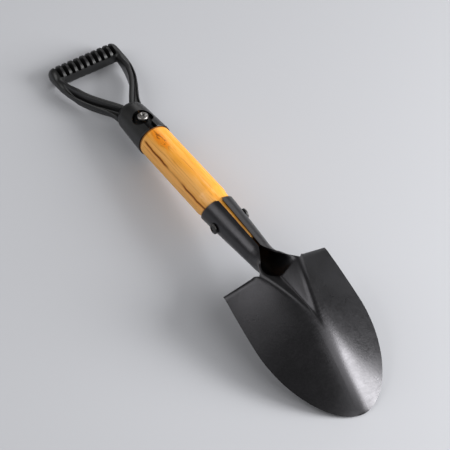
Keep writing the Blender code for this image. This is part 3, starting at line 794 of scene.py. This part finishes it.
def screw_shape():
    """A pan-head screw about +X, with the head's underside at the origin."""
    profile = [(-SHANK_LENGTH, 0.0), (-SHANK_LENGTH + SHANK_RADIUS, SHANK_RADIUS), (0.0, SHANK_RADIUS),
               (0.0, HEAD_RADIUS - HEAD_EDGE_BREAK), (HEAD_EDGE_BREAK, HEAD_RADIUS)]
    for step in range(HEAD_DOME_STEPS):
        angle = math.pi / 2.0 * step / HEAD_DOME_STEPS
        profile.append((HEAD_RIM + (HEAD_HEIGHT - HEAD_RIM) * math.sin(angle),
                        HEAD_RADIUS * math.cos(angle) ** HEAD_DOME_POWER))
    profile.append((HEAD_HEIGHT, 0.0))
    return turned(profile, SCREW_STEPS)


def cross_recess(across_y):
    """One tapering wing of the cross-shaped driver recess in the top of a head."""
    rings = []
    for height, share in ((HEAD_HEIGHT - CROSS_DEPTH, CROSS_FLOOR_SHARE),
                          (HEAD_HEIGHT + CROSS_DEPTH, CROSS_TOP_SHARE)):
        half_length = CROSS_LENGTH / 2.0 * share
        half_breadth = CROSS_WIDTH / 2.0 * (1.0 - CROSS_TAPER + CROSS_TAPER * share)
        half_y, half_z = (half_length, half_breadth) if across_y else (half_breadth, half_length)
        rings.append([(height, -half_y, -half_z), (height, half_y, -half_z), (height, half_y, half_z),
                      (height, -half_y, half_z)])
    return lofted(rings)


def make_screw(name, material, node, place, rotation):
    """A screw that is modelled about +X and then turned and set on its seat."""
    seat = Matrix.Translation(place) @ rotation
    head = screw_shape()
    bmesh.ops.transform(head, matrix=seat, verts=head.verts)
    screw = object_from(name, head)
    for across_y in (True, False):
        wing = cross_recess(across_y)
        bmesh.ops.transform(wing, matrix=seat, verts=wing.verts)
        combine(screw, object_from(f"{name}_recess", wing), "DIFFERENCE")
    finish_piece(screw, material, node)


# Materials

class Finish:
    """A material's node tree, with short calls for the nodes that the finishes share."""

    def __init__(self, name):
        self.material = bpy.data.materials.new(name)
        self.material.use_nodes = True
        self.tree = self.material.node_tree
        self.shader = self.tree.nodes["Principled BSDF"]

    def put(self, socket, value):
        if isinstance(value, bpy.types.NodeSocket):
            self.tree.links.new(value, socket)
        else:
            socket.default_value = value

    def surface(self, **values):
        for name, value in values.items():
            self.put(self.shader.inputs[name.replace("_", " ").title().replace("Ior", "IOR")], value)

    def node(self, kind, inputs=(), **settings):
        made = self.tree.nodes.new(kind)
        for name, value in settings.items():
            setattr(made, name, value)
        for key, value in dict(inputs).items():
            self.put(made.inputs[key], value)
        return made

    def math(self, operation, first, second=0.0, third=0.0):
        return self.node("ShaderNodeMath", {0: first, 1: second, 2: third}, operation=operation).outputs[0]

    def ellipse(self, across, up, middle, size):
        """Distance from the middle of an ellipse, which is 1 on its edge."""
        squares = []
        for value, centre, half in zip((across, up), middle, size):
            share = self.math("DIVIDE", self.math("SUBTRACT", value, centre), half)
            squares.append(self.math("MULTIPLY", share, share))
        return self.math("SQRT", self.math("ADD", *squares))

    def stretch(self, scale):
        """The place in the tool frame, with each axis scaled."""
        place = self.node("ShaderNodeTexCoord").outputs["Object"]
        turn = TOOL.inverted()
        unturned = self.node("ShaderNodeMapping", {"Vector": place, "Location": turn.to_translation(),
                                                   "Rotation": turn.to_euler()}).outputs[0]
        return self.node("ShaderNodeMapping", {"Vector": unturned, "Scale": scale}).outputs[0]

    def noise(self, vector, scale, detail=2.0, roughness=0.5):
        return self.node("ShaderNodeTexNoise", {"Vector": vector, "Scale": scale, "Detail": detail,
                                                "Roughness": roughness}).outputs["Fac"]

    def spread(self, value, low, high, to_low=0.0, to_high=1.0):
        """A value's range from low to high, spread smoothly over another range."""
        return self.node("ShaderNodeMapRange", {"Value": value, "From Min": low, "From Max": high,
                                                "To Min": to_low, "To Max": to_high},
                         interpolation_type="SMOOTHSTEP").outputs[0]

    def mix(self, share, first, second):
        made = self.node("ShaderNodeMix", data_type="RGBA")
        self.put(made.inputs["Factor"], share)
        for socket, value in ((made.inputs[6], first), (made.inputs[7], second)):
            self.put(socket, value if isinstance(value, bpy.types.NodeSocket) else (*value, 1.0))
        return made.outputs[2]

    def bump(self, height, distance, under=None):
        """A normal with this relief, over another relief where one is given."""
        made = self.node("ShaderNodeBump", {"Height": height, "Distance": distance, "Strength": 1.0})
        if under is not None:
            self.put(made.inputs["Normal"], under)
        return made.outputs[0]


def coated_steel():
    """Semi-gloss black coat on pressed steel: faintly cool, with fine strokes across it and orange peel."""
    finish = Finish("coated_steel")
    place = finish.stretch((1.0, 1.0, 1.0))
    cloud = finish.noise(place, 60.0, 3.0)
    peel = finish.noise(place, 900.0, 2.0)
    strokes = finish.noise(finish.stretch((1.0, 0.07, 1.0)), 800.0, 3.0, 0.6)
    gloss = finish.math("ADD", finish.spread(cloud, *NOISE_RANGE, *STEEL_ROUGHNESS),
                        finish.spread(strokes, *NOISE_RANGE, *STROKE_ROUGHNESS))
    relief = finish.bump(strokes, STEEL_RELIEF, finish.bump(peel, STEEL_RELIEF))
    finish.surface(base_color=finish.mix(cloud, *STEEL_COLOURS), roughness=gloss, ior=STEEL_IOR,
                   specular_tint=STEEL_SPECULAR_TINT, normal=relief)
    return finish.material


def lacquered_wood():
    """Yellow-orange lacquered wood: fine grain, a paler and a deeper side, a dark streak and a small knot."""
    finish = Finish("lacquered_wood")
    part = finish.node("ShaderNodeSeparateXYZ", {0: finish.stretch((1.0, 1.0, 1.0))}).outputs
    along = part[0]
    turn = finish.math("ARCTAN2", part[1], part[2])
    # Two sides and the grain's pale and brown lines
    lines = finish.noise(finish.stretch((0.03, 1.0, 1.0)), 800.0, 4.0, 0.6)
    pale_lines = finish.noise(finish.stretch((0.05, 1.0, 1.0)), 560.0, 3.0, 0.6)
    clouds = finish.noise(finish.stretch((0.3, 1.0, 1.0)), 120.0, 3.0)
    side = finish.math("SUBTRACT", turn, finish.math("MULTIPLY_ADD", along, BAND_SLOPE, BAND_START))
    side = finish.math("MULTIPLY_ADD", clouds, BAND_WANDER, side)
    colour = finish.mix(finish.spread(side, -0.1, 0.3), WOOD_PALE_SIDE, WOOD_DEEP_SIDE)
    pale = finish.spread(pale_lines, 0.5, 0.72, 0.0, WOOD_PALE_LINE_SHARE)
    colour = finish.mix(pale, colour, WOOD_PALE_LINE)
    brown = finish.spread(lines, 0.5, 0.75, 0.0, WOOD_BROWN_LINE_SHARE)
    colour = finish.mix(brown, colour, WOOD_BROWN_LINE)
    # Knot with darker marks in it
    knot = finish.ellipse(along, turn, KNOT_MIDDLE, KNOT_SIZE)
    swirl = finish.noise(finish.stretch((0.35, 1.0, 1.0)), 380.0, 4.0, 0.6)
    knot = finish.math("MULTIPLY_ADD", swirl, KNOT_WANDER, knot)
    inside = finish.spread(knot, 1.2, 2.0, 1.0, 0.0)
    colour = finish.mix(finish.math("MULTIPLY", inside, KNOT_SHARE), colour, KNOT_COLOUR)
    marks = finish.math("MULTIPLY", finish.spread(swirl, 0.47, 0.6), inside)
    colour = finish.mix(finish.math("MULTIPLY", marks, KNOT_MARK_SHARE), colour, KNOT_MARK_COLOUR)
    # Dark streak in a redder halo
    bend = finish.noise(finish.stretch((1.0, 0.0, 0.0)), 70.0, 2.0)
    streak = finish.math("SUBTRACT", turn, finish.math("MULTIPLY_ADD", along, STREAK_SLOPE, STREAK_START))
    streak = finish.math("ABSOLUTE", finish.math("MULTIPLY_ADD", bend, STREAK_BEND, streak))
    faint = finish.math("ABSOLUTE", finish.math("SUBTRACT", along, STREAK_FAINT_X))
    strength = finish.math("MULTIPLY", finish.spread(faint, 0.008, 0.02, 0.3, 1.0),
                           finish.spread(along, 0.002, 0.009))
    halo = finish.math("MULTIPLY", finish.spread(streak, 0.02, 0.2, 0.55, 0.0), strength)
    colour = finish.mix(halo, colour, STREAK_HALO_COLOUR)
    streak = finish.math("MULTIPLY", finish.spread(streak, 0.005, 0.09, 1.0, 0.0), strength)
    colour = finish.mix(streak, colour, STREAK_COLOUR)
    # Painted shade: dark lines where the wood meets the ferrule and the socket's mouth, standing in for the
    # shadow in the gaps there
    mouth = finish.math("MULTIPLY_ADD", finish.math("COSINE", turn), MOUTH_SLANT, SOCKET_MOUTH_X)
    mouth_painted_shade = finish.spread(finish.math("SUBTRACT", mouth, along), 0.0008, 0.0024, 1.0, 0.0)
    off_seam = finish.spread(finish.math("ABSOLUTE", turn), 0.16, 0.26)
    rim = finish.math("MAXIMUM", finish.spread(along, 0.0011, 0.0028, 1.0, 0.0),
                      finish.math("MULTIPLY", mouth_painted_shade, off_seam))
    colour = finish.mix(finish.math("MULTIPLY", rim, WOOD_RIM_SHADE_SHARE), colour, WOOD_RIM_PAINTED_SHADE)
    finish.surface(base_color=colour, roughness=finish.spread(lines, *NOISE_RANGE, *WOOD_ROUGHNESS),
                   specular_ior_level=0.0, coat_weight=LACQUER_WEIGHT, coat_roughness=LACQUER_ROUGHNESS,
                   normal=finish.bump(lines, WOOD_RELIEF))
    return finish.material


def black_plastic():
    """Moulded black plastic with a fine spark-eroded grain, painted shade in the screw's recess and its
    channel, and spots of brown dust there.
    """
    finish = Finish("black_plastic")
    place = finish.stretch((1.0, 1.0, 1.0))
    cloud = finish.noise(place, 90.0, 3.0)
    grain = finish.noise(place, 2600.0, 2.0)
    part = finish.node("ShaderNodeSeparateXYZ", {0: place}).outputs
    round_screw = finish.ellipse(part[0], part[1], (HANDLE_SCREW_X, 0.0), (RECESS_RADIUS, RECESS_RADIUS))
    well = finish.spread(round_screw, 0.98, 1.12, 1.0, 0.0)
    across = finish.math("ABSOLUTE", part[1])
    channel = finish.math("MULTIPLY", finish.spread(across, 0.0036, 0.0046, 1.0, 0.0),
                          finish.spread(part[0], HANDLE_SCREW_X, HANDLE_SCREW_X + RECESS_RADIUS))
    # Painted shade: the screw's recess and its channel are painted darker and given less specular, standing
    # in for the shade in them, with spots of brown dust in them too
    recess_shade_and_dust = finish.math("MULTIPLY", finish.math("MAXIMUM", well, channel),
                        finish.spread(part[2], 0.008, 0.01))
    spots = finish.math("MULTIPLY", finish.spread(finish.noise(place, 420.0, 2.0), 0.62, 0.7), recess_shade_and_dust)
    colour = finish.mix(recess_shade_and_dust, finish.mix(cloud, *PLASTIC_COLOURS), RECESS_PAINTED_SHADE_COLOUR)
    finish.surface(base_color=finish.mix(spots, colour, GRIME_SPOT_COLOUR),
                   roughness=finish.spread(cloud, *NOISE_RANGE, *PLASTIC_ROUGHNESS),
                   specular_ior_level=finish.spread(recess_shade_and_dust, 0.0, 1.0, *PLASTIC_SPECULAR),
                   normal=finish.bump(grain, PLASTIC_RELIEF))
    return finish.material


def screw_metal(name, colours, metallic, roughness):
    """Plated or blackened steel with spots of tarnish."""
    finish = Finish(name)
    spots = finish.noise(finish.stretch((1.0, 1.0, 1.0)), 700.0, 4.0, 0.65)
    finish.surface(base_color=finish.mix(finish.spread(spots, 0.42, 0.68), *colours), metallic=metallic,
                   roughness=finish.spread(spots, *NOISE_RANGE, roughness, roughness + TARNISH_ROUGHNESS),
                   normal=finish.bump(spots, SCREW_RELIEF))
    return finish.material


def floor_material():
    """Plain pale studio floor."""
    finish = Finish("studio_floor")
    finish.surface(base_color=FLOOR_COLOUR, roughness=FLOOR_ROUGHNESS)
    return finish.material


# Stage

def make_floor():
    shape = bmesh.new()
    bmesh.ops.create_grid(shape, x_segments=2, y_segments=2, size=FLOOR_SIZE / 2.0)
    mesh = bpy.data.meshes.new("studio_floor")
    shape.to_mesh(mesh)
    shape.free()
    mesh.materials.append(floor_material())
    floor = bpy.data.objects.new("studio_floor", mesh)
    bpy.context.scene.collection.objects.link(floor)


def make_light(name, angles, distance, size, power):
    """A soft rectangular lamp that faces the object, from an angle round +Z from +X and an elevation."""
    lamp = bpy.data.lights.new(name, "AREA")
    lamp.shape = "RECTANGLE"
    lamp.size, lamp.size_y = size
    lamp.energy = power
    made = bpy.data.objects.new(name, lamp)
    turn, rise = angles
    towards = Vector((math.cos(turn) * math.cos(rise), math.sin(turn) * math.cos(rise), math.sin(rise)))
    made.location = towards * distance
    made.rotation_euler = towards.to_track_quat("Z", "Y").to_euler()
    bpy.context.scene.collection.objects.link(made)


def make_world():
    world = bpy.data.worlds.new("studio")
    world.use_nodes = True
    sky = world.node_tree.nodes["Background"]
    sky.inputs["Color"].default_value = (WORLD_GREY, WORLD_GREY, WORLD_GREY, 1.0)
    bpy.context.scene.world = world


def make_camera():
    lens = bpy.data.cameras.new("camera")
    lens.lens = CAMERA_LENS
    lens.sensor_width = CAMERA_SENSOR
    camera = bpy.data.objects.new("camera", lens)
    level = math.cos(CAMERA_ELEVATION)
    view = Vector((-math.sin(CAMERA_AZIMUTH) * level, math.cos(CAMERA_AZIMUTH) * level,
                   -math.sin(CAMERA_ELEVATION)))
    turn = view.to_track_quat("-Z", "Y").to_matrix() @ Matrix.Rotation(CAMERA_ROLL, 3, "Z")
    camera.location = Vector(CAMERA_AIM) - view * CAMERA_DISTANCE
    camera.rotation_euler = turn.to_euler()
    bpy.context.scene.collection.objects.link(camera)
    bpy.context.scene.camera = camera


def main():
    make_blade(coated_steel())
    make_shaft(lacquered_wood())
    make_grip(black_plastic())
    plated = screw_metal("plated_steel", PLATED_COLOURS, 1.0, PLATED_ROUGHNESS)
    blackened = screw_metal("black_screw", BLACKENED_COLOURS, 0.0, BLACKENED_ROUGHNESS)
    make_screw("handle_screw_steel", plated, "handle_screw",
               (HANDLE_SCREW_X, 0.0, HANDLE_SCREW_SEAT), Matrix.Rotation(-math.pi / 2.0, 4, "Y"))
    for side, word in ((-1.0, "left"), (1.0, "right")):
        make_screw(f"socket_screw_{word}_steel", blackened, f"socket_screw_{word}",
                   (SOCKET_SCREW_X, side * socket_screw_seat(), 0.0),
                   Matrix.Rotation(side * math.pi / 2.0, 4, "Z"))
    make_floor()
    make_light("key_light", KEY_ANGLES, KEY_DISTANCE, KEY_SIZE, KEY_POWER)
    make_light("fill_light", FILL_ANGLES, FILL_DISTANCE, FILL_SIZE, FILL_POWER)
    make_light("top_light", TOP_ANGLES, TOP_DISTANCE, TOP_SIZE, TOP_POWER)
    make_light("back_light", BACK_ANGLES, BACK_DISTANCE, BACK_SIZE, BACK_POWER)
    make_world()
    make_camera()
    bpy.context.scene.view_settings.view_transform = "Standard"


main()
bpy.context.view_layer.update()
